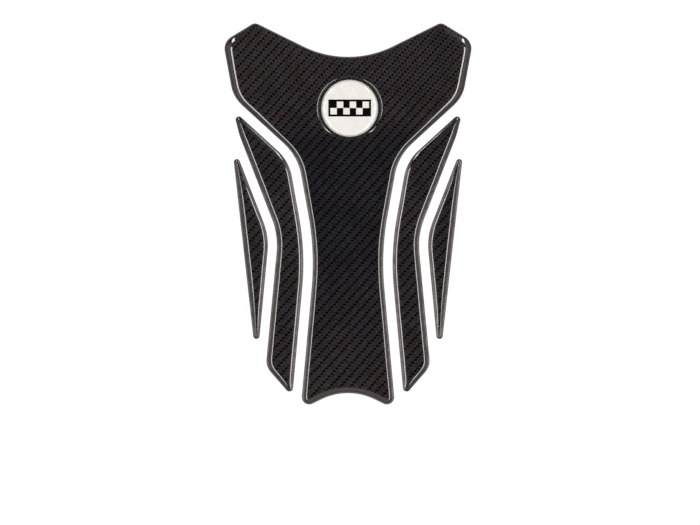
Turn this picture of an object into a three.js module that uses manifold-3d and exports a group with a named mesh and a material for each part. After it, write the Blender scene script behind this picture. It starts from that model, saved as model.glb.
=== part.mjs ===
// A motorcycle tank pad: a centre pad with two ears, two curved strips on each side of it, and a
// round badge in the centre pad. Each pad is a sheet of printed, self-adhesive film under a poured
// dome of clear resin, which is thick over the middle and thins out to nothing at the edge.
//
// Millimetres. The set lies on z = 0 with its adhesive side down, spread as it goes on the tank:
// +Y runs up towards the filler cap, +X to the right and +Z away from the tank.

import * as THREE from 'three';
import { mergeVertices } from 'three/addons/utils/BufferGeometryUtils.js';
import Module from 'manifold-3d';

const wasm = await Module();
wasm.setup();

// Film and resin
const FILM_THICKNESS = 0.3; // printed film with its adhesive
const RESIN_MARGIN = 0.2; // bare film outside the foot of the resin
const RESIN_CURVE = 2.3; // how early the resin turns level: 1 is a straight slope
const CENTRE_RESIN = { height: 2.0, rim: 4.4 }; // thickness over the film, width of the sloped rim
const STRIP_RESIN = { height: 1.7, rim: 2.6 };
const PAD_GAP = 5; // bare tank between the centre pad and an inner strip
const STRIP_GAP = 4.8; // bare tank between the two strips of a side

// Centre pad, right half. A corner is the point where two straight sides would meet, and the
// radius of the round stretch that joins them.
const EAR_SPAN = 132.4; // from the side corner of one ear to that of the other
const EAR_RISE = 24.4; // from the corner of the top notch up to that of an ear's top
const EAR_SLANT = 10.3; // from an ear's top down to its side corner
const TOP_NOTCH = { x: 0, y: 77.1, radius: 53.6 };
const EAR_TOP = { x: 49.4, y: TOP_NOTCH.y + EAR_RISE, radius: 3.9 };
const EAR_SIDE = { x: EAR_SPAN / 2, y: EAR_TOP.y - EAR_SLANT, radius: 7.3 };
const SHOULDER = { x: 60.8, y: 61.9, radius: 18.5 };
const STEM_BEND = { x: 26.6, y: 30.6, radius: 29.4 };
const WAIST = { x: 17.5, y: -20, radius: 142 };
const STEM_FOOT = { x: 25.1, y: -103.6, radius: 3.9 };
const FOOT_NOTCH = { x: 0, y: -91.2, radius: 32.2 };

// Inner strip. Its width at a height is measured along X from the side that faces the centre pad.
const INNER_TOP = { y: 55.3, radius: 1.8 };
const INNER_BEND = { y: 41.7, width: 11.4, radius: 30.7 };
const INNER_KNEE = { y: -11.2, width: 12.8, radius: 39 };
const INNER_HEEL = { y: -80.8, width: 15.5, radius: 8.9 };
const INNER_TIP = { y: -96.9, radius: 2 };

// Outer strip. Its far side is straight, from tip to tip.
const OUTER_TOP = { y: 39.5, radius: 1.6 };
const OUTER_TIP = { y: -81.1, radius: 1.7 };

// Badge, seated in a round opening of the centre pad's resin
const BADGE_DIAMETER = 30;
const BADGE_BELOW_NOTCH = 21.1; // from the corner of the top notch down to its centre
const BADGE_ASIDE = 0.9; // from the centre line to its centre, as it was laid by hand
const BADGE_CLEARANCE = 0.5; // between the badge and the foot of the resin round it
const BADGE_RESIN = { height: 1.6, rim: 4 };

// Print on the badge: a band of two rows of checks
const CHECK_SIZE = 3.4;
const CHECK_COLUMNS = 6;
const CHECK_ROWS = 2;
const CHECK_CORNER_GAP = 0.3; // keeps diagonal neighbours apart
const PRINT_FRAME = 1.1; // solid print round the checks
const PRINT_THICKNESS = 0.1;

// Fineness of the facets
const ARC_STEP = THREE.MathUtils.degToRad(10);
const CHORD = 2.6;
const RIM_STEPS = [0, 0.1, 0.25, 0.45, 0.7, 1]; // shares of the rim's width, from the foot inwards
const LEAST_RADIUS = 0.5;
const ROUND_SEGMENTS = 72;

// Colours of the print and the resin over it
const CARBON = { color: 0x1f1d20, roughness: 0.35, metalness: 0 };
const CLEAR_OVER_CARBON = { color: 0x242226, roughness: 0.05, metalness: 0 };
const WHITE_PRINT = { color: 0xefece8, roughness: 0.4, metalness: 0 };
const BLACK_PRINT = { color: 0x121113, roughness: 0.4, metalness: 0 };
const CLEAR_OVER_WHITE = { color: 0xe6e4e1, roughness: 0.05, metalness: 0, opacity: 0.2, transparent: true };

function direction(from, to) {
  return new THREE.Vector2(to.x - from.x, to.y - from.y).normalize();
}

// Point where the lines through a along u and through b along v meet
function meet(a, u, b, v) {
  const along = ((b.x - a.x) * v.y - (b.y - a.y) * v.x) / (u.x * v.y - u.y * v.x);
  return { x: a.x + u.x * along, y: a.y + u.y * along };
}

// The point moved by a distance to the left of a direction
function shifted(point, along, distance) {
  return { x: point.x - along.y * distance, y: point.y + along.x * distance };
}

// Corners of the line that runs parallel to an open chain of corners, to its left
function parallelChain(chain, distance) {
  const last = chain.length - 1;
  return chain.map((corner, i) => {
    const before = direction(chain[Math.max(i - 1, 0)], chain[Math.max(i, 1)]);
    const after = direction(chain[Math.min(i, last - 1)], chain[Math.min(i + 1, last)]);
    const turn = before.cross(after);
    if (i === 0 || i === last) return { ...shifted(corner, before, distance), radius: corner.radius };
    const point = meet(shifted(corner, before, distance), before, shifted(corner, after, distance), after);
    return { ...point, radius: corner.radius - Math.sign(turn) * distance };
  });
}

// Where a chain that runs down the Y axis, or the line of its first or last side, is at a height
function xAtHeight(chain, y) {
  const inner = chain.slice(1, -1);
  const below = inner.findIndex((corner) => corner.y < y);
  const index = below < 0 ? inner.length : below;
  const from = chain[index];
  const to = chain[index + 1];
  return from.x + ((to.x - from.x) * (y - from.y)) / (to.y - from.y);
}

// Outline of a closed ring of corners, run anticlockwise, drawn a distance inside its sides.
// Every distance gives the same number of points, so that outlines can be joined in rings.
function outline(corners, inset) {
  const count = corners.length;
  const points = [];
  corners.forEach((corner, i) => {
    const before = direction(corners[(i + count - 1) % count], corner);
    const after = direction(corner, corners[(i + 1) % count]);
    const turn = Math.atan2(before.cross(after), before.dot(after));
    const tip = meet(shifted(corner, before, inset), before, shifted(corner, after, inset), after);
    const side = Math.sign(turn);
    const radius = Math.max(corner.radius - side * inset, LEAST_RADIUS);
    const start = {
      x: tip.x - before.x * radius * Math.tan(Math.abs(turn) / 2),
      y: tip.y - before.y * radius * Math.tan(Math.abs(turn) / 2),
    };
    const centre = shifted(start, before, side * radius);
    const arm = new THREE.Vector2(start.x - centre.x, start.y - centre.y);
    const steps = Math.ceil(Math.max(Math.abs(turn) / ARC_STEP, (corner.radius * Math.abs(turn)) / CHORD));
    for (let k = 0; k <= steps; k += 1) {
      const spoke = arm.clone().rotateAround(new THREE.Vector2(), (turn * k) / steps);
      points.push(new THREE.Vector2(centre.x + spoke.x, centre.y + spoke.y));
    }
  });
  return points;
}

// The same corners on the other side of the centre line, again anticlockwise
function mirrored(corners) {
  return corners.map((corner) => ({ ...corner, x: -corner.x })).reverse();
}

function centrePadCorners() {
  const right = [FOOT_NOTCH, STEM_FOOT, WAIST, STEM_BEND, SHOULDER, EAR_SIDE, EAR_TOP, TOP_NOTCH];
  return [...right, ...mirrored(right.slice(1, -1))];
}

// Side of the inner strip that faces the centre pad, from the top down
function innerStripInnerSide() {
  return parallelChain([SHOULDER, STEM_BEND, WAIST, STEM_FOOT], PAD_GAP);
}

// Far side of the inner strip, from the top down, with its two tips
function innerStripOuterSide() {
  const facing = innerStripInnerSide();
  const atTip = (end) => ({ x: xAtHeight(facing, end.y), y: end.y, radius: end.radius });
  const atWidth = (station) => ({ ...station, x: xAtHeight(facing, station.y) + station.width });
  return [atTip(INNER_TOP), ...[INNER_BEND, INNER_KNEE, INNER_HEEL].map(atWidth), atTip(INNER_TIP)];
}

function innerStripCorners() {
  const facing = innerStripInnerSide().slice(1, -1);
  return [...innerStripOuterSide().reverse(), ...facing];
}

function outerStripCorners() {
  const neighbour = innerStripOuterSide().slice(1, -1);
  const facing = parallelChain(neighbour, STRIP_GAP);
  const ends = [OUTER_TIP, OUTER_TOP].map((end) => ({ ...end, x: xAtHeight(facing, end.y) }));
  return [...ends, ...facing.slice(1, -1)];
}

// Resin height over its foot, for a share of the rim's width
function resinHeight(resin, share) {
  return resin.height * (1 - (1 - share) ** RESIN_CURVE);
}

// Closed body from rings of points that are joined in order, with the first ring filled as its
// underside and the last as its top. A ring holds one outline and the outline of each opening.
function ringedSolid(rings) {
  const positions = [];
  const corner = (ring, path, index) => {
    const point = rings[ring].paths[path][index];
    positions.push(point.x, point.y, rings[ring].z);
  };
  rings.slice(1).forEach((_, ring) => {
    rings[ring].paths.forEach((path, p) => {
      path.forEach((_point, i) => {
        const next = (i + 1) % path.length;
        corner(ring, p, i);
        corner(ring, p, next);
        corner(ring + 1, p, next);
        corner(ring, p, i);
        corner(ring + 1, p, next);
        corner(ring + 1, p, i);
      });
    });
  });
  const fill = (ring, order) => {
    const [contour, ...holes] = rings[ring].paths;
    const points = [contour, ...holes].flat();
    THREE.ShapeUtils.triangulateShape(contour, holes).forEach((triangle) => {
      order.forEach((k) => positions.push(points[triangle[k]].x, points[triangle[k]].y, rings[ring].z));
    });
  };
  fill(0, [0, 2, 1]);
  fill(rings.length - 1, [0, 1, 2]);
  const geometry = new THREE.BufferGeometry();
  geometry.setAttribute('position', new THREE.Float32BufferAttribute(positions, 3));
  geometry.computeVertexNormals();
  return geometry;
}

function circle(centre, radius) {
  return Array.from({ length: ROUND_SEGMENTS }, (_, i) => {
    const angle = (-2 * Math.PI * i) / ROUND_SEGMENTS;
    return new THREE.Vector2(centre.x + radius * Math.cos(angle), centre.y + radius * Math.sin(angle));
  });
}

function named(name, geometry, finish) {
  const mesh = new THREE.Mesh(geometry, new THREE.MeshStandardMaterial(finish));
  mesh.name = name;
  return mesh;
}

function filmMesh(name, corners) {
  const shape = new THREE.Shape(outline(corners, 0));
  const geometry = new THREE.ExtrudeGeometry(shape, { depth: FILM_THICKNESS, bevelEnabled: false });
  return named(`${name}_film`, geometry, CARBON);
}

// Resin on a film, with a round opening for each hole
function domeMesh(name, corners, resin, holes) {
  const rings = RIM_STEPS.map((share) => ({
    z: resinHeight(resin, share),
    paths: [
      outline(corners, RESIN_MARGIN + share * resin.rim),
      ...holes.map((hole) => circle(hole, hole.radius + share * resin.rim)),
    ],
  }));
  const mesh = named(`${name}_dome`, ringedSolid(rings), CLEAR_OVER_CARBON);
  mesh.position.z = FILM_THICKNESS;
  return mesh;
}

function pad(name, corners, resin, holes = []) {
  const group = new THREE.Group();
  group.add(filmMesh(name, corners), domeMesh(name, corners, resin, holes));
  return group;
}

function toSolid(geometry) {
  const bare = geometry.clone();
  bare.deleteAttribute('normal');
  bare.deleteAttribute('uv');
  const merged = mergeVertices(bare);
  return new wasm.Manifold(new wasm.Mesh({
    numProp: 3,
    vertProperties: merged.attributes.position.array,
    triVerts: new Uint32Array(merged.index.array),
  }));
}

function toGeometry(solid) {
  const mesh = solid.getMesh();
  const geometry = new THREE.BufferGeometry();
  geometry.setAttribute('position', new THREE.BufferAttribute(mesh.vertProperties, 3));
  geometry.setIndex(new THREE.BufferAttribute(mesh.triVerts, 1));
  geometry.computeVertexNormals();
  return geometry;
}

// Black band with a window for each white check, which lets the white film show
function checkedPrint() {
  const width = CHECK_COLUMNS * CHECK_SIZE + 2 * PRINT_FRAME;
  const height = CHECK_ROWS * CHECK_SIZE + 2 * PRINT_FRAME;
  const window = CHECK_SIZE - CHECK_CORNER_GAP;
  let print = toSolid(new THREE.BoxGeometry(width, height, PRINT_THICKNESS));
  for (let row = 0; row < CHECK_ROWS; row += 1) {
    for (let column = row % 2; column < CHECK_COLUMNS; column += 2) {
      const x = (column - (CHECK_COLUMNS - 1) / 2) * CHECK_SIZE;
      const y = (row - (CHECK_ROWS - 1) / 2) * CHECK_SIZE;
      const cutter = new THREE.BoxGeometry(window, window, 2 * PRINT_THICKNESS).translate(x, y, 0);
      print = print.subtract(toSolid(cutter));
    }
  }
  return toGeometry(print);
}

function badgeDome() {
  const foot = BADGE_DIAMETER / 2 - RESIN_MARGIN;
  const profile = [
    new THREE.Vector2(0, 0),
    ...RIM_STEPS.map((share) => (
      new THREE.Vector2(foot - share * BADGE_RESIN.rim, resinHeight(BADGE_RESIN, share))
    )),
    new THREE.Vector2(0, BADGE_RESIN.height),
  ];
  return new THREE.LatheGeometry(profile, ROUND_SEGMENTS).rotateX(Math.PI / 2);
}

function badge(centre) {
  const disc = new THREE.CylinderGeometry(
    BADGE_DIAMETER / 2, BADGE_DIAMETER / 2, FILM_THICKNESS, ROUND_SEGMENTS,
  ).rotateX(Math.PI / 2);
  const film = named('badge_film', disc, WHITE_PRINT);
  const print = named('badge_print', checkedPrint(), BLACK_PRINT);
  const dome = named('badge_dome', badgeDome(), CLEAR_OVER_WHITE);
  film.position.z = FILM_THICKNESS / 2;
  print.position.z = FILM_THICKNESS + PRINT_THICKNESS / 2;
  dome.position.z = FILM_THICKNESS + PRINT_THICKNESS;

  const group = new THREE.Group();
  group.add(film, print, dome);
  group.position.set(centre.x, centre.y, FILM_THICKNESS);
  return group;
}

const badgeCentre = { x: BADGE_ASIDE, y: TOP_NOTCH.y - BADGE_BELOW_NOTCH };
const badgeOpening = { ...badgeCentre, radius: BADGE_DIAMETER / 2 + BADGE_CLEARANCE };
const tankPad = new THREE.Group();
tankPad.add(
  pad('centre_pad', centrePadCorners(), CENTRE_RESIN, [badgeOpening]),
  pad('right_inner_strip', innerStripCorners(), STRIP_RESIN),
  pad('left_inner_strip', mirrored(innerStripCorners()), STRIP_RESIN),
  pad('right_outer_strip', outerStripCorners(), STRIP_RESIN),
  pad('left_outer_strip', mirrored(outerStripCorners()), STRIP_RESIN),
  badge(badgeCentre),
);

export default tankPad;
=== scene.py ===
"""Looks of a motorcycle tank pad: carbon-look pads and a round badge under clear domed resin.

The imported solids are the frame. The films stay as they are and get materials. The resin domes are
cast again over the same outlines with the curved surface that liquid resin sets in.
"""

import math

import bmesh
import bpy
import numpy as np
from bpy.props import FloatProperty, FloatVectorProperty, IntProperty, PointerProperty
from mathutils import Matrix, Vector, noise
from mathutils.geometry import delaunay_2d_cdt


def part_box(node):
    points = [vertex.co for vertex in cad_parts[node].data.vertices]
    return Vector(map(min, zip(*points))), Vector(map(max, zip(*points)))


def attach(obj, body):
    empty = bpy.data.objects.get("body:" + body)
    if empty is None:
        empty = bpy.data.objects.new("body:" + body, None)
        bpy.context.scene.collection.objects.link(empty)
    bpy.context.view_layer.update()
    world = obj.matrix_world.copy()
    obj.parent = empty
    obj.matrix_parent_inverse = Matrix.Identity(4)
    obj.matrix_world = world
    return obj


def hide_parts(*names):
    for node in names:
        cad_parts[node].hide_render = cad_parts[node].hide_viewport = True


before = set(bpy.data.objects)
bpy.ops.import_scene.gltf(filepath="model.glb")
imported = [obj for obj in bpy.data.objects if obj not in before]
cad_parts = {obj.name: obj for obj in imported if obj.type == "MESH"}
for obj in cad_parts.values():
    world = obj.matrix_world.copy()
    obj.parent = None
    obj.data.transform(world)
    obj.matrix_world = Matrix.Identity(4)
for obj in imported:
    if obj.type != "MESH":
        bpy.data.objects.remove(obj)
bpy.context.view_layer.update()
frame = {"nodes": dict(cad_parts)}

bl_info = {
    "name": "Tank pad",
    "version": (1, 0, 0),
    "blender": (4, 5, 0),
    "location": "3D View > Sidebar > Tank pad",
    "description": "Dresses a carbon-look motorcycle tank pad and sets up its studio",
    "category": "Object",
}

MM = 0.001
BODY = "root"
PADS = ("centre_pad", "right_inner_strip", "left_inner_strip", "right_outer_strip", "left_outer_strip")

# The print. Spots are dark marks where a tow dips, and their measures are in tows.
TWILL = 4  # tows after which the weave repeats
SPOT = (0.65, 0.22)  # squared half width and half height of a spot on the stem
EAR_SPOT = (0.34, 0.33)  # the same on the ears
SPOT_LEAN = 0.35  # how far a spot on the stem leans for each tow of its height
SPOT_EDGE = (0.4, 0.5)  # where a spot's soft edge starts, on the stem and on the ears
SECOND_SPOT = (1.5, 0.5)  # from a spot on the ears to the weaker one beside it
SECOND_SPAN = (-30, 30)  # where across the ears the weaker spots grow, in tows
SECOND_SHARE = (0.3, 0.6)  # how dark the weaker spots are before and after that
SPOT_DEPTH = 0.97  # how much of the tow's colour a spot hides
EAR_PRINT = (52 * MM, 64 * MM)  # Y over which the print turns into that of the ears, and the ears' painted light sets in
STRIP_PRINT = (-20 * MM, 20 * MM)  # Y over which a strip's print turns towards that of the ears, with a share of their painted light
STRIP_PRINT_SHARE = 0.4  # how far it gets
EAR_PAINTED_LIGHT = 0.14  # painted light: how much paler the print is made on the ears
TINT_STRENGTH = (0.9, 0.5, 0.9)  # how strong the fine tints are in red, green and blue
TINT_BASE = (0.55, 0.75, 0.55)  # is added to the tints, so that they come to 1 on average

# Painted light on the print by the edge, standing in for light that the resin's edge lets in: a paler rim
# and a painted glow. A foot is an edge that faces down round the notch at the stem's foot.
RIM_FADE = (0.35, 1.05)  # shares of the rim's width over which it fades
FOOT_FADE = (0.85, 1.0)  # the same at a foot
FOOT_WIDENING = 1.15  # how much wider the rim is at a foot
FOOT_DIMMING = 0.3  # how much less pale the rim is at a foot
FOOT_GLOW = 0.22  # how much painted glow the print gets at a foot
FOOT_GLOW_FADE = (0.8 * MM, 2 * MM)  # depths over which that glow sets in
UPWARD = (0.3, 0.65)  # how far an edge faces up where its rim pales less, and where it no longer does
GLOW_FADE = (0.7, 1.2)  # shares of the glow's width over which it fades
GLOW_TOP = (20 * MM, 42 * MM)  # Y over which the glow of the long sides ends
GLOW_ACROSS = ((-55, -18, 18), (0.45, 1.2, 1.0))  # X in mm, and the glow's strength there

# Rows of points beside an edge of the resin. Distances are shares of the spacing along the edge.
ROWS = 15
FIRST_ROW = 0.4
ROW_GROWTH = 1.09
ROW_SPACING = 0.75  # least distance between two points of a row
POINT_SPACING = 0.36  # least distance between any two points of the rows
BLOCK = 2000  # points that are compared with an edge at a time

# Depths from an edge over which the resin's reach turns from that of the edge into that further in.
OPENING_BLEND = (2 * MM, 7 * MM)
AWAY_BLEND = (1.1 * MM, 1.9 * MM)
FACING_BLEND = (0.45 * MM, 1.05 * MM)
STRIP_UNEVENNESS = 0.6  # of the unevenness of the centre pad

# Edges of the light in the studio, as angles from the zenith or, for the dark side, from its middle.
CEILING_FADE = math.radians(20)
CEILING_EDGE = (math.radians(27), math.radians(36))
DARK_SIDE_EDGE = (math.radians(52), math.radians(36))
DARK_SIDE_DIMMING = 0.9
FRONT_EDGE = (-0.4, -0.85)  # Y of the level direction where the front starts, and where it is dimmest
FRONT_DIMMING = 0.6
LOW_EDGE = (0.2, 0.7)  # Z of the direction where the walls start to brighten, and where they are bright
LAMP_COLOUR = (1.0, 0.975, 0.955)
FLOOR_HALF = 3.0  # metres from the middle of the floor to its edge
FLOOR_DROP = 0.02 * MM  # from the pads' backs down to the floor


# Properties

class ResinProperties(bpy.types.PropertyGroup):
    """Shape of the set resin."""
    ear_reach: FloatProperty(
        name="Reach at the ears", description="Distance over which the resin rises from an ear's edge",
        default=1.45 * MM, subtype="DISTANCE", unit="LENGTH")
    stem_reach: FloatProperty(
        name="Reach on the stem", description="Distance over which the resin rises from the stem's edge",
        default=0.9 * MM, subtype="DISTANCE", unit="LENGTH")
    away_reach: FloatVectorProperty(
        name="Reach facing away", description="Reach at a strip's edge that faces away from the stem, "
        "and further in", size=2, default=(1.3 * MM, 0.9 * MM), subtype="XYZ_LENGTH", unit="LENGTH")
    facing_reach: FloatVectorProperty(
        name="Reach facing the stem", description="Reach at a strip's edge that faces the stem, "
        "and further in", size=2, default=(0.6 * MM, 1.7 * MM), subtype="XYZ_LENGTH", unit="LENGTH")
    opening_reach: FloatProperty(
        name="Reach at the opening", description="Distance over which the resin rises round the badge",
        default=0.64 * MM, subtype="DISTANCE", unit="LENGTH")
    badge_reach: FloatProperty(
        name="Reach on the badge", description="Distance over which the resin rises from the badge's edge",
        default=0.55 * MM, subtype="DISTANCE", unit="LENGTH")
    ear_from: FloatProperty(
        name="Ears begin", description="Height along Y where the stem starts to turn into the ears",
        default=38 * MM, subtype="DISTANCE", unit="LENGTH")
    ear_full: FloatProperty(
        name="Ears full", description="Height along Y from which the ears' values hold",
        default=66 * MM, subtype="DISTANCE", unit="LENGTH")
    unevenness: FloatProperty(
        name="Unevenness", description="How much the reach of the hand-poured resin varies",
        default=0.14, min=0.0, max=1.0, subtype="FACTOR")
    lip: FloatProperty(
        name="Lip", description="Height of the resin's upright edge",
        default=0.06 * MM, subtype="DISTANCE", unit="LENGTH")
    cell: FloatProperty(
        name="Mesh cell", description="Spacing of the surface's points away from the edges",
        default=1.1 * MM, subtype="DISTANCE", unit="LENGTH")
    edge_cell: FloatProperty(
        name="Edge cell", description="Spacing of the surface's points along the edges",
        default=0.4 * MM, subtype="DISTANCE", unit="LENGTH")


class CarbonProperties(bpy.types.PropertyGroup):
    """Printed twill under the resin."""
    tow_x: FloatProperty(
        name="Tow width across", description="Width of one printed tow along X",
        default=1.337 * MM, subtype="DISTANCE", unit="LENGTH")
    tow_y: FloatProperty(
        name="Tow width along", description="Width of one printed tow along Y",
        default=1.4657 * MM, subtype="DISTANCE", unit="LENGTH")
    phase: FloatVectorProperty(
        name="Phase", description="Where the pattern starts, in tows", size=2, default=(3.89, 1.76))
    light: FloatVectorProperty(
        name="Tow", description="Colour of the printed tows",
        size=3, default=(0.0231, 0.0199, 0.0209), subtype="COLOR")
    # Painted shade: the tows halfway down the stem get a darker, bluer colour that stands in for the
    # dimmer light there
    stem_painted_shade: FloatVectorProperty(
        name="Tow on the stem", description="Colour of the printed tows halfway down the stem",
        size=3, default=(0.0129, 0.0128, 0.0156), subtype="COLOR")
    # Painted light: the strips' tows get a tone of their own, standing in for the different light the
    # strips reflect
    strip_painted_tone: FloatVectorProperty(
        name="Tow on the strips", description="Colour of the printed tows on the strips",
        size=3, default=(0.0210, 0.0186, 0.0202), subtype="COLOR")
    hue: FloatProperty(
        name="Hue", description="How much the print turns redder and bluer from patch to patch",
        default=0.05, min=0.0, max=1.0, subtype="FACTOR")
    # Painted shade: the next two give where along Y the stem's darker tows fade in and out
    stem_shade_start: FloatVectorProperty(
        name="Darker stem from", description="Y where the stem's print begins to be darker, and where it "
        "is darkest", size=2, default=(-88 * MM, -10.56 * MM), subtype="XYZ_LENGTH", unit="LENGTH")
    stem_shade_end: FloatVectorProperty(
        name="Darker stem to", description="Y up to which the stem's print is darkest, and where it is no "
        "longer darker", size=2, default=(36 * MM, 54 * MM), subtype="XYZ_LENGTH", unit="LENGTH")
    # Painted light: the print by the edge is made paler, standing in for light that the resin's edge lets
    # in
    rim: FloatVectorProperty(
        name="Rim", description="Colour of the print by the edge, where the resin lets light in",
        size=3, default=(0.0375, 0.0315, 0.0312), subtype="COLOR")
    rim_width: FloatProperty(
        name="Rim width", description="How far in from the edge the print looks paler",
        default=1.5 * MM, subtype="DISTANCE", unit="LENGTH")
    # Painted glow: the next two set a pale line on the print right beside the long sides, standing in for
    # light caught by the resin's edge
    rim_painted_highlight: FloatVectorProperty(
        name="Rim glow", description="Colour of the print right beside the long sides",
        size=3, default=(0.18, 0.153, 0.152), subtype="COLOR")
    glow_width: FloatProperty(
        name="Glow width", description="How far in from the long sides the print glows",
        default=1.0 * MM, subtype="DISTANCE", unit="LENGTH")
    foot: FloatProperty(
        name="Foot", description="Y below which the rim is wider, round the notch at the foot",
        default=-80 * MM, subtype="DISTANCE", unit="LENGTH")
    recess: FloatProperty(
        name="Recess", description="How far from the badge the resin's edge stays in its shade",
        default=1.9 * MM, subtype="DISTANCE", unit="LENGTH")
    recess_gloss: FloatProperty(
        name="Recess gloss", description="Share of the gloss left on the resin's edge beside the badge",
        default=0.25, min=0.0, max=1.0, subtype="FACTOR")
    dark: FloatVectorProperty(
        name="Crossing", description="Colour of the print where one tow dips under the next",
        size=3, default=(0.0016, 0.0011, 0.0016), subtype="COLOR")
    resin_index: FloatProperty(
        name="Resin IOR", description="Refractive index of the clear resin", default=1.6, min=1.0)


class BadgeProperties(bpy.types.PropertyGroup):
    """Print on the badge."""
    white: FloatVectorProperty(
        name="White", description="Colour of the badge's ground", size=3,
        default=(0.705, 0.700, 0.675), subtype="COLOR")
    # Painted light: the badge's ground by the edge is made paler, standing in for light that the resin
    # lets in there
    rim: FloatVectorProperty(
        name="Rim", description="Colour of the ground by the edge, where the resin lets light in",
        size=3, default=(0.82, 0.808, 0.785), subtype="COLOR")
    black: FloatVectorProperty(
        name="Black", description="Colour of the badge's checks", size=3,
        default=(0.0035, 0.003, 0.003), subtype="COLOR")
    columns: IntProperty(name="Columns", description="Checks across the band", default=6, min=1)
    rows: IntProperty(name="Rows", description="Checks up the band", default=2, min=1)
    frame: FloatProperty(
        name="Frame", description="Width of the solid print round the checks",
        default=1.1 * MM, subtype="DISTANCE", unit="LENGTH")


class StudioProperties(bpy.types.PropertyGroup):
    """Floor, surroundings, lamps and camera."""
    pixel: FloatProperty(
        name="Scale", description="Length that one picture element covers on the floor",
        default=0.53 * MM, subtype="DISTANCE", unit="LENGTH")
    picture: FloatVectorProperty(
        name="Picture size", description="Width and height of the picture in picture elements",
        size=2, default=(700, 525))
    origin: FloatVectorProperty(
        name="Origin in the picture", description="Picture element over which the frame's origin lies",
        size=2, default=(348, 214))
    lens: FloatProperty(name="Lens", description="Focal length", default=100, unit="CAMERA")
    horizon: FloatVectorProperty(
        name="Horizon", description="Light of the studio walls", size=3,
        default=(1.06, 0.98, 0.95), subtype="COLOR")
    low_walls: FloatProperty(
        name="Low walls", description="Light at the foot of the walls, as a share of the light higher up",
        default=0.1, min=0.0, max=1.0, subtype="FACTOR")
    ceiling: FloatProperty(
        name="Ceiling", description="Light of the dark ceiling off the zenith, as a share of the walls'",
        default=0.25, min=0.0, max=1.0, subtype="FACTOR")
    lamp_height: FloatProperty(
        name="Lamp height", description="Height of the strip lamps over the floor",
        default=0.8, subtype="DISTANCE", unit="LENGTH")
    lamp_offset: FloatProperty(
        name="Lamp offset", description="Distance of each strip lamp from the centre line",
        default=0.36, subtype="DISTANCE", unit="LENGTH")
    lamp_ends: FloatVectorProperty(
        name="Lamp ends", description="Y where a strip lamp starts and ends", size=2,
        default=(-0.58, 0.235), subtype="XYZ_LENGTH", unit="LENGTH")
    lamp_width: FloatProperty(
        name="Lamp width", description="Width of a strip lamp", default=0.117,
        subtype="DISTANCE", unit="LENGTH")
    end_lamp: FloatVectorProperty(
        name="End lamp", description="Where the slanted lamp beyond the ears starts and ends, as X and Y",
        size=4, default=(0.40, 0.45, 0.98, 1.42))
    end_lamp_width: FloatProperty(
        name="End lamp width", description="Width of a slanted lamp", default=0.11,
        subtype="DISTANCE", unit="LENGTH")
    end_lamp_share: FloatProperty(
        name="End lamp radiance", description="Light of a slanted lamp as a share of a strip lamp's",
        default=1.5)
    dark_side: FloatProperty(
        name="Dark side", description="Direction of the studio's dark side, turned from the X axis",
        default=math.radians(105), subtype="ANGLE")
    lamp_radiance: FloatProperty(
        name="Lamp radiance", description="Light of a strip lamp where white is 1", default=11.5)
    floor_grey: FloatProperty(
        name="Floor", description="How much light the matt floor returns",
        default=0.86, min=0.0, max=1.0, subtype="FACTOR")
    floor_light: FloatProperty(
        name="Floor light", description="Light of the floor's own, where white is 1", default=1.04)
    floor_share: FloatProperty(
        name="Floor light share", description="Share of the floor that its own light makes up, as seen",
        default=0.85, min=0.0, max=1.0, subtype="FACTOR")


def properties():
    return bpy.context.scene


# Helpers

def between(share, start, end):
    """Goes from start to end as the share goes from 0 to 1."""
    return start + share * (end - start)


class Wire:
    """A shader socket that Python arithmetic works on: each operation adds its Math node."""

    def __init__(self, finish, socket):
        self.finish = finish
        self.socket = socket

    def math(self, operation, *values):
        inputs = dict(enumerate((self, *values)))
        return self.finish.node("ShaderNodeMath", {"operation": operation}, inputs)

    def __add__(self, other):
        return self.math("ADD", other)

    __radd__ = __add__

    def __sub__(self, other):
        return self.math("SUBTRACT", other)

    def __rsub__(self, other):
        return self.finish.node("ShaderNodeMath", {"operation": "SUBTRACT"}, {0: other, 1: self})

    def __mul__(self, other):
        return self.math("MULTIPLY", other)

    __rmul__ = __mul__

    def __truediv__(self, other):
        return self.math("DIVIDE", other)

    def __abs__(self):
        return self.math("ABSOLUTE")

    def floor(self):
        return self.math("FLOOR")

    def wrap(self, period):
        return self.math("FLOORED_MODULO", period)

    def below(self, limit):
        return self.math("LESS_THAN", limit)

    def step(self, start, end, low=0.0, high=1.0):
        """Goes smoothly from low to high as the value goes from start to end."""
        settings = {"interpolation_type": "SMOOTHSTEP"}
        inputs = {"Value": self, "From Min": start, "From Max": end, "To Min": low, "To Max": high}
        return self.finish.node("ShaderNodeMapRange", settings, inputs)


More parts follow.
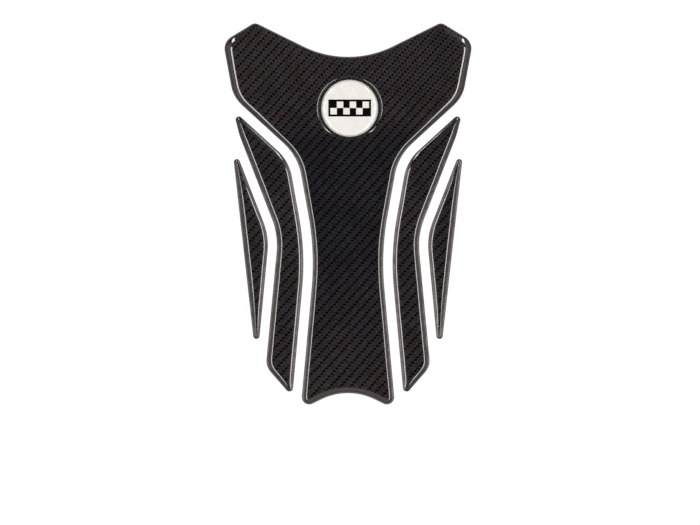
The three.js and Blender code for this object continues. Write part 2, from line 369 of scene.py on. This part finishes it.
class Finish:
    """A node tree, and the one method that adds any node to it."""

    def __init__(self, owner):
        owner.use_nodes = True
        self.owner = owner
        self.tree = owner.node_tree
        self.tree.nodes.clear()

    def node(self, kind, settings=None, inputs=None, output=0):
        node = self.tree.nodes.new(kind)
        for name, value in (settings or {}).items():
            setattr(node, name, value)
        for key, value in (inputs or {}).items():
            if isinstance(value, Wire):
                self.tree.links.new(value.socket, node.inputs[key])
            else:
                node.inputs[key].default_value = value
        return Wire(self, node.outputs[output]) if node.outputs else None

    def blend(self, factor, first, second):
        """Colour between two colours."""
        inputs = {0: factor, 6: first, 7: second}
        return self.node("ShaderNodeMix", {"data_type": "RGBA"}, inputs, output=2)

    def axes(self, vector):
        node = self.node("ShaderNodeSeparateXYZ", None, {0: vector}).socket.node
        return [Wire(self, socket) for socket in node.outputs]

    def vector(self, x, y, z):
        return self.node("ShaderNodeCombineXYZ", None, {0: x, 1: y, 2: z})

    def vector_math(self, operation, inputs):
        return self.node("ShaderNodeVectorMath", {"operation": operation}, inputs)

    def noise(self, vector, scale, detail=2.0):
        inputs = {"Vector": vector, "Scale": scale, "Detail": detail}
        return self.node("ShaderNodeTexNoise", None, inputs)

    def object_point(self):
        return self.node("ShaderNodeTexCoord", None, None, output="Object")

    def attribute(self, name):
        return self.node("ShaderNodeAttribute", {"attribute_name": name}, None, output="Fac")

    def surface(self, **inputs):
        shader = self.node("ShaderNodeBsdfPrincipled", None, inputs)
        self.node("ShaderNodeOutputMaterial", None, {"Surface": shader})
        return self.owner


def rgba(colour):
    return (*colour, 1.0)


def new_finish(name):
    return Finish(bpy.data.materials.new(name))


# Materials

def crossings(u, v, ears):
    """Dark spots where a tow dips, along each row of them. They are round on the ears and slant below."""
    dip = 0
    for offset in (0, 1):
        near_row = (v - 0.5).floor() + offset
        aside = (u + near_row + 1.5).wrap(TWILL) - TWILL / 2
        above = v - near_row - 0.5
        lean = aside + above * (1 - ears) * SPOT_LEAN
        wide, high = (between(ears, *sizes) for sizes in zip(SPOT, EAR_SPOT))
        size = lean * lean / wide + above * above / high
        dip = size.step(1.0, between(ears, *SPOT_EDGE)) + dip
    return dip


def carbon_tone(finish, ears):
    """Shade of the printed 2 x 2 twill, about 1 on a tow and higher on the ears by painted light, and how
    much of it each crossing hides.
    """
    carbon = properties().carbon
    scale = (1 / carbon.tow_x, -1 / carbon.tow_y, 1)
    settings = {"vector_type": "POINT"}
    inputs = {0: finish.object_point(), "Location": (*carbon.phase, 0), "Scale": scale}
    u, v, _ = finish.axes(finish.node("ShaderNodeMapping", settings, inputs))
    column, row = u.floor(), v.floor()
    across_u, across_v = u - column, v - row
    place = (column + row).wrap(TWILL)
    warp = place.below(1.5)
    weft = 1 - warp
    along = warp * (place + across_v) * 0.5 + weft * (place - TWILL / 2 + across_u) * 0.5
    across = warp * across_u + weft * across_v
    crown = abs(across - 0.5).step(0.5, 0.22, 0.86, 1.04)
    arch = abs(along - 0.5).step(0.5, 0.15, 0.86, 1.04)
    second = ears * u.step(*SECOND_SPAN, *SECOND_SHARE)
    dip = crossings(u, v, ears) + crossings(u - SECOND_SPOT[0], v - SECOND_SPOT[1], ears) * second
    warp_fibres = finish.noise(finish.vector(u * 9, v * 0.8, 0), 1.0, 3.0)
    weft_fibres = finish.noise(finish.vector(u * 0.8, v * 9, 7), 1.0, 3.0)
    fibres = (warp * warp_fibres + weft * weft_fibres).step(0.25, 0.75, 0.78, 1.22)
    cloud = finish.noise(finish.vector(u, v, 3), 0.11, 2.0).step(0.3, 0.7, 0.88, 1.12)
    grain = finish.noise(finish.vector(u, v, 5), 1.7, 2.0).step(0.25, 0.75, 0.58, 1.42)
    # The ears' tows are made paler as painted light
    return crown * arch * fibres * cloud * grain * (1 + ears * EAR_PAINTED_LIGHT), dip


def resin_over_print(finish, colour, clear=1.0):
    """Flat print seen through clear, glossy resin: only the resin's own surface is curved."""
    inputs = {
        "Base Color": colour,
        "Roughness": 0.5,
        "Specular IOR Level": 0.0,
        "Normal": finish.vector(0, 0, 1),
        "Coat Weight": clear,
        "Coat Roughness": 0.03,
        "Coat IOR": properties().carbon.resin_index,
    }
    return finish.surface(**inputs)


def carbon_colour(finish, ground, ears):
    """Twill in the ground's colour, with painted light by the edge of the resin: a paler rim, and a
    painted glow beside the long sides.
    """
    carbon = properties().carbon
    tone, dip = carbon_tone(finish, ears)
    point = finish.object_point()
    patch = finish.noise(point, 90.0, 3.0).step(0.3, 0.7, -1.0, 1.0) * carbon.hue
    tints = finish.node("ShaderNodeTexNoise", None, {"Vector": point, "Scale": 500.0}, output="Color")
    red, green, blue = TINT_BASE
    base = finish.vector(red + patch, green, blue - patch)
    hue = finish.vector_math("MULTIPLY_ADD", {0: tints, 1: TINT_STRENGTH, 2: base})
    tinted = finish.vector_math("MULTIPLY", {0: ground, 1: hue})
    tows = finish.vector_math("SCALE", {0: tinted, "Scale": tone})
    twill = finish.blend(dip * SPOT_DEPTH, tows, rgba(carbon.dark))
    # Painted light by the edge of the resin: the pale rim colour, turning into the painted glow beside the
    # long sides
    glow = finish.blend(finish.attribute("glow"), rgba(carbon.rim), rgba(carbon.rim_painted_highlight))
    return finish.blend(finish.attribute("rim"), twill, glow)


def resin_over_carbon():
    """Resin over the centre pad's print, with painted shade that makes it darker and bluer down the stem.
    """
    carbon = properties().carbon
    finish = new_finish("resin_over_carbon")
    x, y, _ = finish.axes(finish.object_point())
    # Painted shade: darker, bluer tows down the middle of the stem
    painted_shade = y.step(*reversed(carbon.stem_shade_end)) * y.step(*carbon.stem_shade_start)
    ground = finish.blend(painted_shade, rgba(carbon.light), rgba(carbon.stem_painted_shade))
    low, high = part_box("badge_dome")
    across, along = x - (low.x + high.x) / 2, y - (low.y + high.y) / 2
    away = (across * across + along * along).math("SQRT") - (high.x - low.x) / 2
    recess = away.step(carbon.recess * 0.7, carbon.recess, carbon.recess_gloss, 1.0)
    ears = y.step(*EAR_PRINT)
    return resin_over_print(finish, carbon_colour(finish, ground, ears), recess)


def resin_over_strip():
    """Resin over the strips' print, in a tone of its own that stands in for the different light the strips
    catch.
    """
    finish = new_finish("resin_over_strip")
    _, y, _ = finish.axes(finish.object_point())
    ears = y.step(*STRIP_PRINT, 0.0, STRIP_PRINT_SHARE)
    return resin_over_print(finish, carbon_colour(finish, properties().carbon.strip_painted_tone, ears))


def printed_film():
    """Black vinyl of the films, with a little dust-like variation."""
    finish = new_finish("printed_film")
    speckle = finish.noise(finish.object_point(), 2600.0, 3.0)
    colour = finish.blend(speckle.step(0.3, 0.75), (0.006, 0.005, 0.006, 1), (0.016, 0.014, 0.015, 1))
    return finish.surface(**{"Base Color": colour, "Roughness": speckle.step(0.2, 0.8, 0.38, 0.6)})


def in_box(x, y, low, high, inset=0.0):
    """1 inside the box less the inset, and 0 outside."""
    across = abs(x - (low.x + high.x) / 2).below((high.x - low.x) / 2 - inset)
    along = abs(y - (low.y + high.y) / 2).below((high.y - low.y) / 2 - inset)
    return across * along


def badge_colour(finish, band):
    """White ground with a chequered black band, laid out over the box of the printed band."""
    badge = properties().badge
    low, high = band
    x, y, _ = finish.axes(finish.object_point())
    width = (high.x - low.x - 2 * badge.frame) / badge.columns
    height = (high.y - low.y - 2 * badge.frame) / badge.rows
    column = ((x - (low.x + badge.frame)) / width).floor()
    row = ((y - (low.y + badge.frame)) / height).floor()
    odd = (column + row).wrap(2)
    window = in_box(x, y, low, high, badge.frame) * (1 - odd)
    black = in_box(x, y, low, high) * (1 - window)
    mottle = finish.noise(finish.object_point(), 260.0, 3.0).step(0.3, 0.7, 0.965, 1.03)
    ground = finish.vector_math("SCALE", {0: badge.white, "Scale": mottle})
    return finish.blend(black, ground, rgba(badge.black))


def resin_over_badge():
    """The badge's print seen through its own resin, with painted light on its ground by the edge."""
    finish = new_finish("resin_over_badge")
    colour = badge_colour(finish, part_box("badge_print"))
    # Painted light: the ground turns paler towards the badge's edge
    lit = finish.blend(finish.attribute("rim"), colour, rgba(properties().badge.rim))
    return resin_over_print(finish, lit)


def badge_white_film():
    finish = new_finish("badge_white_film")
    colour = badge_colour(finish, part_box("badge_print"))
    return finish.surface(**{"Base Color": colour, "Roughness": 0.45})


def badge_black_print():
    finish = new_finish("badge_black_print")
    grain = finish.noise(finish.object_point(), 3000.0)
    colour = finish.blend(grain, (0.003, 0.003, 0.003, 1), (0.007, 0.006, 0.006, 1))
    return finish.surface(**{"Base Color": colour, "Roughness": 0.45})


# Resin domes

def ordered(loop):
    """The same loop, run anticlockwise from its leftmost point."""
    loop = np.roll(loop, -np.lexsort((loop[:, 1], loop[:, 0]))[0], axis=0)
    after = np.roll(loop, -1, axis=0)
    turn = (loop[:, 0] * after[:, 1] - loop[:, 1] * after[:, 0]).sum()
    return loop if turn > 0 else np.roll(loop[::-1], 1, axis=0)


def foot_loops(node):
    """Closed loops of the underside of a CAD node, each a list of (x, y), and the underside's z."""
    bm = bmesh.new()
    bm.from_mesh(frame["nodes"][node].data)
    bmesh.ops.remove_doubles(bm, verts=bm.verts, dist=1e-6)
    foot = min(v.co.z for v in bm.verts)

    def under(face):
        return all(v.co.z < foot + 1e-5 for v in face.verts)

    rim = [e for e in bm.edges if sum(under(f) for f in e.link_faces) == 1]
    loops = []
    while rim:
        edge = rim.pop()
        start, vertex = edge.verts
        loop = [start.co.xy, vertex.co.xy]
        while vertex is not start:
            edge = next(e for e in vertex.link_edges if e in rim)
            rim.remove(edge)
            vertex = edge.other_vert(vertex)
            loop.append(vertex.co.xy)
        loops.append(ordered(np.array([tuple(p) for p in loop[:-1]])))
    bm.free()
    return loops, foot


def even_loop(loop, spacing):
    """The loop with its long sides divided, so that no two neighbours are further apart."""
    points = []
    for a, b in zip(loop, np.roll(loop, -1, axis=0)):
        count = max(1, math.ceil(np.linalg.norm(b - a) / spacing))
        points += [a + (b - a) * k / count for k in range(count)]
    return np.array(points)


def inside(points, loops):
    """Which points lie inside the outline and outside its openings."""
    odd = np.zeros(len(points), bool)
    for loop in loops:
        for a, b in zip(loop, np.roll(loop, -1, axis=0)):
            if a[1] == b[1]:
                continue
            crosses = (a[1] > points[:, 1]) != (b[1] > points[:, 1])
            odd ^= crosses & (points[:, 0] < a[0] + (b[0] - a[0]) * (points[:, 1] - a[1]) / (b[1] - a[1]))
    return odd


def edge_distance(points, edge):
    """Distance of each point to the nearest point of the edge, and that point's index."""
    distance = np.empty(len(points))
    nearest = np.empty(len(points), int)
    for start in range(0, len(points), BLOCK):
        part = slice(start, start + BLOCK)
        gaps = np.linalg.norm(points[part, None] - edge[None], axis=2)
        nearest[part] = gaps.argmin(axis=1)
        distance[part] = gaps.min(axis=1)
    return distance, nearest


def thinned(points, spacing):
    """The points without those that lie closer than a spacing to an earlier one."""
    kept, cells = [], {}
    for point in points:
        key = (int(point[0] // spacing), int(point[1] // spacing))
        near = [q for i in (-1, 0, 1) for j in (-1, 0, 1) for q in cells.get((key[0] + i, key[1] + j), ())]
        if all((q[0] - point[0]) ** 2 + (q[1] - point[1]) ** 2 >= spacing * spacing for q in near):
            cells.setdefault(key, []).append(point)
            kept.append(point)
    return kept


def surface_points(loops, cell):
    """Points in rows beside every edge, and a triangular grid of points over the rest."""
    step = properties().resin.edge_cell
    rims = [even_loop(loop, step) for loop in loops]
    edge = np.concatenate(rims)
    depths = np.cumsum([step * FIRST_ROW * ROW_GROWTH ** k for k in range(ROWS)])
    points = []
    for depth in depths:
        row = []
        for rim in rims:
            tangent = np.roll(rim, -1, axis=0) - np.roll(rim, 1, axis=0)
            normal = np.stack([-tangent[:, 1], tangent[:, 0]], axis=1)
            normal /= np.linalg.norm(normal, axis=1)[:, None]
            row += [rim + normal * depth, rim - normal * depth]
        row = np.concatenate(row)
        row = row[inside(row, loops)]
        row = row[edge_distance(row, edge)[0] > depth * 0.985]
        points += thinned(row, step * ROW_SPACING)
    low, high = edge.min(axis=0), edge.max(axis=0)
    lines = np.arange(low[1], high[1], cell * math.sqrt(3) / 2)
    across = np.arange(low[0], high[0], cell)
    grid = np.array([(x + (i % 2) * cell / 2, y) for i, y in enumerate(lines) for x in across])
    grid = grid[inside(grid, loops)]
    grid = grid[edge_distance(grid, edge)[0] > depths[-1] + cell * 0.45]
    return rims, np.concatenate([edge, thinned(points, step * POINT_SPACING), grid])


def triangulated(rims, points):
    """Triangles over the points, inside the outline and outside its openings."""
    sides, start = [], 0
    for rim in rims:
        count = len(rim)
        sides += [(start + k, start + (k + 1) % count) for k in range(count)]
        start += count
    made, _, faces, *_ = delaunay_2d_cdt([Vector(p) for p in points], sides, [], 0, 1e-9)
    made = np.array([tuple(p) for p in made])
    faces = np.array([tuple(f) for f in faces])
    return made, faces[inside(made[faces].mean(axis=1), rims)]


def settled(points, triangles, fixed, reach, depth):
    """Height of resin that is at rest over the triangles and thins out to nothing at the fixed points.

    Its surface pulls flat while its weight holds it level, so the height h follows
    h - reach^2 * curvature(h) = depth, solved here by conjugate gradients.
    """
    count = len(points)
    first, second, weight = [], [], []
    area = np.zeros(count)
    for i, j, k in ((0, 1, 2), (1, 2, 0), (2, 0, 1)):
        a, b, c = (points[triangles[:, n]] for n in (i, j, k))
        u, v = a - c, b - c
        cross = np.abs(u[:, 0] * v[:, 1] - u[:, 1] * v[:, 0])
        first.append(triangles[:, i])
        second.append(triangles[:, j])
        weight.append((u * v).sum(axis=1) / np.maximum(cross, 1e-14) / 2)
        area += np.bincount(triangles[:, i], cross / 6, count)
    first, second, weight = map(np.concatenate, (first, second, weight))
    rows, columns = np.concatenate([first, second]), np.concatenate([second, first])
    weight = np.concatenate([weight, weight])
    diagonal = np.bincount(rows, weight, count) + area / reach ** 2

    def apply(h):
        return np.where(fixed, 0, diagonal * h - np.bincount(rows, weight * h[columns], count))

    height = np.zeros(count)
    rest = np.where(fixed, 0, area * depth / reach ** 2)
    guide = rest / diagonal
    search = guide.copy()
    power = rest @ guide
    for _ in range(400):
        pull = apply(search)
        share = power / (search @ pull)
        height += share * search
        rest = rest - share * pull
        guide = rest / diagonal
        fresh = rest @ guide
        if fresh < 1e-24:
            break
        search = guide + fresh / power * search
        power = fresh
    return height


def slopes(points, triangles, height):
    """Slope of the surface at each point, from the curved patch that fits it and its neighbours best."""
    near = [set() for _ in points]
    for a, b, c in triangles.tolist():
        near[a].update((b, c))
        near[b].update((a, c))
        near[c].update((a, b))
    wide = [set().union(*(near[j] for j in ring), ring) - {i} for i, ring in enumerate(near)]
    centre = np.repeat(np.arange(len(points)), [len(ring) for ring in wide])
    other = np.array([j for ring in wide for j in ring])
    x, y = (points[other] - points[centre]).T / MM
    far = 0.02 + x * x + y * y
    terms = np.stack([x, y, x * x, x * y, y * y], axis=1) / far[:, None]
    values = (height[other] - height[centre]) / MM / far
    matrix = np.zeros((len(points), 5, 5))
    vector = np.zeros((len(points), 5))
    np.add.at(matrix, centre, terms[:, :, None] * terms[:, None, :])
    np.add.at(vector, centre, terms * values[:, None])
    matrix += np.eye(5) * 1e-7
    return np.linalg.solve(matrix, vector[:, :, None])[:, :2, 0]


def wobble(points, size, seed):
    return np.array([noise.noise(Vector((p[0] / size, p[1] / size, seed))) for p in points])


def rim_shares(points, rim):
    """How much painted light the print gets by the edge, and how much painted glow right beside the long
    sides.
    """
    carbon = properties().carbon
    depth, nearest = edge_distance(points, rim)
    tangent = np.roll(rim, -1, axis=0) - np.roll(rim, 1, axis=0)
    tangent /= np.linalg.norm(tangent, axis=1)[:, None]
    sideways, upward = abs(tangent[nearest, 1]), -tangent[nearest, 0]
    foot = (1 - smooth_share(sideways, 0.5, 0.8)) * (points[:, 1] < carbon.foot)
    width = carbon.rim_width * (1 + FOOT_WIDENING * foot)
    start, end = (between(foot, *limits) for limits in zip(RIM_FADE, FOOT_FADE))
    pale = 1 - smooth_share(depth / width, start, end)
    pale *= (1 - smooth_share(upward, *UPWARD)) * (1 - FOOT_DIMMING * foot)
    glow = 1 - smooth_share(depth / carbon.glow_width, *GLOW_FADE)
    glow *= smooth_share(sideways, 0.7, 0.95) * (1 - smooth_share(points[:, 1], *GLOW_TOP))
    glow *= np.interp(points[:, 0] / MM, *GLOW_ACROSS)
    glow *= 0.85 + 0.8 * wobble(points, 3 * MM, 8.5)
    return pale, glow + FOOT_GLOW * foot * smooth_share(depth, *FOOT_GLOW_FADE)


def cast_dome(name, node, reach, material):
    """A dome of resin over the outline of a CAD dome, as deep. reach tells how fast it rises where."""
    resin = properties().resin
    loops, foot = foot_loops(node)
    loops.sort(key=lambda loop: -np.ptp(loop[:, 1]))
    rims, points = surface_points(loops, resin.cell)
    points, triangles = triangulated(rims, points)
    count = sum(len(rim) for rim in rims)
    fixed = np.arange(len(points)) < count
    lip = foot + resin.lip
    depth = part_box(node)[1].z - lip
    height = settled(points, triangles, fixed, reach(points, rims), depth)

    bm = bmesh.new()
    top = [bm.verts.new((x, y, lip + h)) for (x, y), h in zip(points, height)]
    under = [bm.verts.new((x, y, foot)) for x, y in points[:count]]
    for a, b, c in triangles:
        bm.faces.new((top[a], top[b], top[c])).smooth = True
    _, base = triangulated(rims, points[:count])
    for a, b, c in base:
        bm.faces.new((under[c], under[b], under[a]))
    start = 0
    for rim in rims:
        ring = range(start, start + len(rim))
        for a, b in zip(ring, (*ring[1:], ring[0])):
            bm.faces.new((under[a], under[b], top[b], top[a]))
        start += len(rim)
    bmesh.ops.recalc_face_normals(bm, faces=bm.faces)
    mesh = bpy.data.meshes.new(name)
    bm.to_mesh(mesh)
    bm.free()
    mesh.materials.append(material)
    fall = slopes(points, triangles, height)
    upward = np.column_stack([-fall, np.ones(len(points))])
    upward /= np.linalg.norm(upward, axis=1)[:, None]
    normals = np.concatenate([upward, np.tile((0.0, 0.0, -1.0), (count, 1))])
    mesh.normals_split_custom_set_from_vertices(normals.tolist())
    # Painted light: shares of the pale rim and of the glow, read by the materials
    for share, values in zip(("rim", "glow"), rim_shares(points, rims[0])):
        mesh.attributes.new(share, "FLOAT", "POINT").data.foreach_set(
            "value", np.concatenate([values, np.zeros(count)]))
    dome = bpy.data.objects.new(name, mesh)
    bpy.context.collection.objects.link(dome)
    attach(dome, BODY)
    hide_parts(node)
    return dome


def smooth_share(values, start, end):
    share = np.clip((values - start) / (end - start), 0, 1)
    return share * share * (3 - 2 * share)


def centre_reach(points, rims):
    """Resin rises slowly at the ears, faster along the stem, and fastest round the badge."""
    resin = properties().resin
    ear = smooth_share(points[:, 1], resin.ear_from, resin.ear_full)
    reach = between(ear, resin.stem_reach, resin.ear_reach)
    opening, _ = edge_distance(points, rims[1])
    reach += (resin.opening_reach - reach) * (1 - smooth_share(opening, *OPENING_BLEND))
    return reach * (1 + resin.unevenness * wobble(points, 14 * MM, 1.5))


def strip_reach(points, rims):
    """Resin bulges over a strip's side that faces away from the stem, and leans back from the other."""
    resin = properties().resin
    depth, nearest = edge_distance(points, rims[0])
    inward = (abs(points[:, 0]) - abs(rims[0][nearest, 0])) / (depth + 0.01 * MM)
    away = between(smooth_share(depth, *AWAY_BLEND), *resin.away_reach)
    facing = between(smooth_share(depth, *FACING_BLEND), *resin.facing_reach)
    reach = between(smooth_share(inward, -0.3, 0.3), away, facing)
    return reach * (1 + STRIP_UNEVENNESS * resin.unevenness * wobble(points, 9 * MM, 4.5))


def badge_reach(points, rims):
    return np.full(len(points), properties().resin.badge_reach)


# Stage

def lamp(name, start, end, width, share=1.0):
    """A flat lamp that faces down: a strip that runs from start to end over the floor."""
    studio = properties().studio
    middle, along = (Vector(start) + Vector(end)) / 2, Vector(end) - Vector(start)
    light = bpy.data.lights.new(name, "AREA")
    light.shape = "RECTANGLE"
    light.size = width
    light.size_y = along.length
    light.energy = share * studio.lamp_radiance * math.pi * width * along.length
    light.color = LAMP_COLOUR
    lamp_object = bpy.data.objects.new(name, light)
    lamp_object.location = (*middle, studio.lamp_height)
    lamp_object.rotation_euler.z = math.atan2(-along.x, along.y)
    lamp_object.visible_camera = False
    bpy.context.collection.objects.link(lamp_object)


def surroundings():
    """Pale walls to the sides, dimmer in front, and dark low down, overhead and behind the ears."""
    studio = properties().studio
    world = bpy.data.worlds.new("studio")
    bpy.context.scene.world = world
    finish = Finish(world)
    direction = finish.node("ShaderNodeTexCoord", None, None, output="Generated")
    x, y, up = finish.axes(direction)
    flat = (x * x + y * y).math("SQRT") + 1e-4
    turned = x * math.cos(studio.dark_side) + y * math.sin(studio.dark_side)
    behind = (turned / flat).step(*map(math.cos, DARK_SIDE_EDGE), 0.0, DARK_SIDE_DIMMING)
    front = (y / flat).step(*FRONT_EDGE, 0.0, FRONT_DIMMING)
    ceiling = up.step(1.0, math.cos(CEILING_FADE), 0.0, studio.ceiling)
    walls = up.step(*map(math.cos, CEILING_EDGE))
    low = up.step(*LOW_EDGE, studio.low_walls, 1.0)
    shade = (ceiling * (1 - walls) + walls) * low * (1 - behind) * (1 - front)
    lit = finish.vector_math("SCALE", {0: studio.horizon, "Scale": shade})
    seen = finish.node("ShaderNodeLightPath", None, None, output="Is Camera Ray")
    colour = finish.blend(seen, lit, (1, 1, 1, 1))
    background = finish.node("ShaderNodeBackground", None, {"Color": colour})
    finish.node("ShaderNodeOutputWorld", None, {"Surface": background})


def floor_finish():
    """White floor that still takes the pad's shadow."""
    studio = properties().studio
    finish = new_finish("floor_white")
    matt = finish.node("ShaderNodeBsdfDiffuse", None, {"Color": rgba([studio.floor_grey] * 3)})
    shine = finish.node("ShaderNodeEmission", None, {"Strength": studio.floor_light})
    node = finish.node("ShaderNodeLightPath", None, None).socket.node
    seen = Wire(finish, node.outputs["Is Camera Ray"])
    mirrored = Wire(finish, node.outputs["Is Glossy Ray"])
    either = seen.math("MAXIMUM", mirrored)
    mixed = finish.node("ShaderNodeMixShader", None, {0: either * studio.floor_share, 1: matt, 2: shine})
    finish.node("ShaderNodeOutputMaterial", None, {"Surface": mixed})
    return finish.owner


def floor():
    bm = bmesh.new()
    bmesh.ops.create_grid(bm, x_segments=1, y_segments=1, size=FLOOR_HALF)
    bmesh.ops.translate(bm, verts=bm.verts, vec=(0, 0, -FLOOR_DROP))
    mesh = bpy.data.meshes.new("floor")
    bm.to_mesh(mesh)
    bm.free()
    mesh.materials.append(floor_finish())
    plane = bpy.data.objects.new("floor", mesh)
    bpy.context.collection.objects.link(plane)


def camera():
    """Looks straight down, framed as the photograph is."""
    studio = properties().studio
    data = bpy.data.cameras.new("camera")
    data.lens = studio.lens
    width, height = studio.picture
    distance = width * studio.pixel * data.lens / data.sensor_width
    data.clip_end = 20
    view = bpy.data.objects.new("camera", data)
    x = (width / 2 - studio.origin[0]) * studio.pixel
    y = (studio.origin[1] - height / 2) * studio.pixel
    view.location = (x, y, distance)
    bpy.context.collection.objects.link(view)
    bpy.context.scene.camera = view


# Operators

class TANKPAD_OT_stage(bpy.types.Operator):
    """Set up the floor, the surroundings, the lamps and the camera"""
    bl_idname = "tankpad.stage"
    bl_label = "Stage"

    def execute(self, context):
        studio = context.scene.studio
        context.scene.view_settings.view_transform = "Standard"
        camera()
        floor()
        surroundings()
        for side, name in ((-1, "left"), (1, "right")):
            x = side * studio.lamp_offset
            near, far = studio.lamp_ends
            lamp(f"{name}_strip_lamp", (x, near), (x, far), studio.lamp_width)
            start, end = studio.end_lamp[:2], studio.end_lamp[2:]
            lamp(f"{name}_end_lamp", (side * start[0], start[1]), (side * end[0], end[1]),
                 studio.end_lamp_width, studio.end_lamp_share)
        return {"FINISHED"}


class TANKPAD_OT_films(bpy.types.Operator):
    """Give the films and the badge's print their materials"""
    bl_idname = "tankpad.films"
    bl_label = "Films"

    def execute(self, context):
        black = printed_film()
        for pad in PADS:
            frame["nodes"][f"{pad}_film"].data.materials[0] = black
        frame["nodes"]["badge_film"].data.materials[0] = badge_white_film()
        frame["nodes"]["badge_print"].data.materials[0] = badge_black_print()
        return {"FINISHED"}


class TANKPAD_OT_domes(bpy.types.Operator):
    """Cast the resin over the carbon-look pads"""
    bl_idname = "tankpad.domes"
    bl_label = "Pad domes"

    def execute(self, context):
        centre, *strips = PADS
        material = resin_over_carbon()
        cast_dome(f"{centre}_resin", f"{centre}_dome", centre_reach, material)
        material = resin_over_strip()
        for strip in strips:
            cast_dome(f"{strip}_resin", f"{strip}_dome", strip_reach, material)
        return {"FINISHED"}


class TANKPAD_OT_badge(bpy.types.Operator):
    """Cast the resin over the badge"""
    bl_idname = "tankpad.badge"
    bl_label = "Badge dome"

    def execute(self, context):
        cast_dome("badge_resin", "badge_dome", badge_reach, resin_over_badge())
        return {"FINISHED"}


class TANKPAD_PT_panel(bpy.types.Panel):
    """Lists the steps and their sizes"""
    bl_idname = "TANKPAD_PT_panel"
    bl_label = "Tank pad"
    bl_space_type = "VIEW_3D"
    bl_region_type = "UI"
    bl_category = "Tank pad"

    def draw(self, context):
        for operator in OPERATORS:
            self.layout.operator(operator.bl_idname)
        for group in GROUPS:
            values = getattr(context.scene, group)
            box = self.layout.box()
            box.label(text=group.title())
            for name in values.bl_rna.properties.keys():
                if name not in ("rna_type", "name"):
                    box.prop(values, name)


OPERATORS = (TANKPAD_OT_stage, TANKPAD_OT_films, TANKPAD_OT_domes, TANKPAD_OT_badge)
GROUPS = {
    "resin": ResinProperties,
    "carbon": CarbonProperties,
    "badge": BadgeProperties,
    "studio": StudioProperties,
}


def register():
    for part in (*GROUPS.values(), *OPERATORS, TANKPAD_PT_panel):
        bpy.utils.register_class(part)
    for name, group in GROUPS.items():
        setattr(bpy.types.Scene, name, PointerProperty(type=group))


def unregister():
    for name in GROUPS:
        delattr(bpy.types.Scene, name)
    for part in reversed((*GROUPS.values(), *OPERATORS, TANKPAD_PT_panel)):
        bpy.utils.unregister_class(part)


def main():
    register()
    bpy.ops.tankpad.stage()
    bpy.ops.tankpad.films()
    bpy.ops.tankpad.domes()
    bpy.ops.tankpad.badge()


if __name__ == "__main__":
    main()
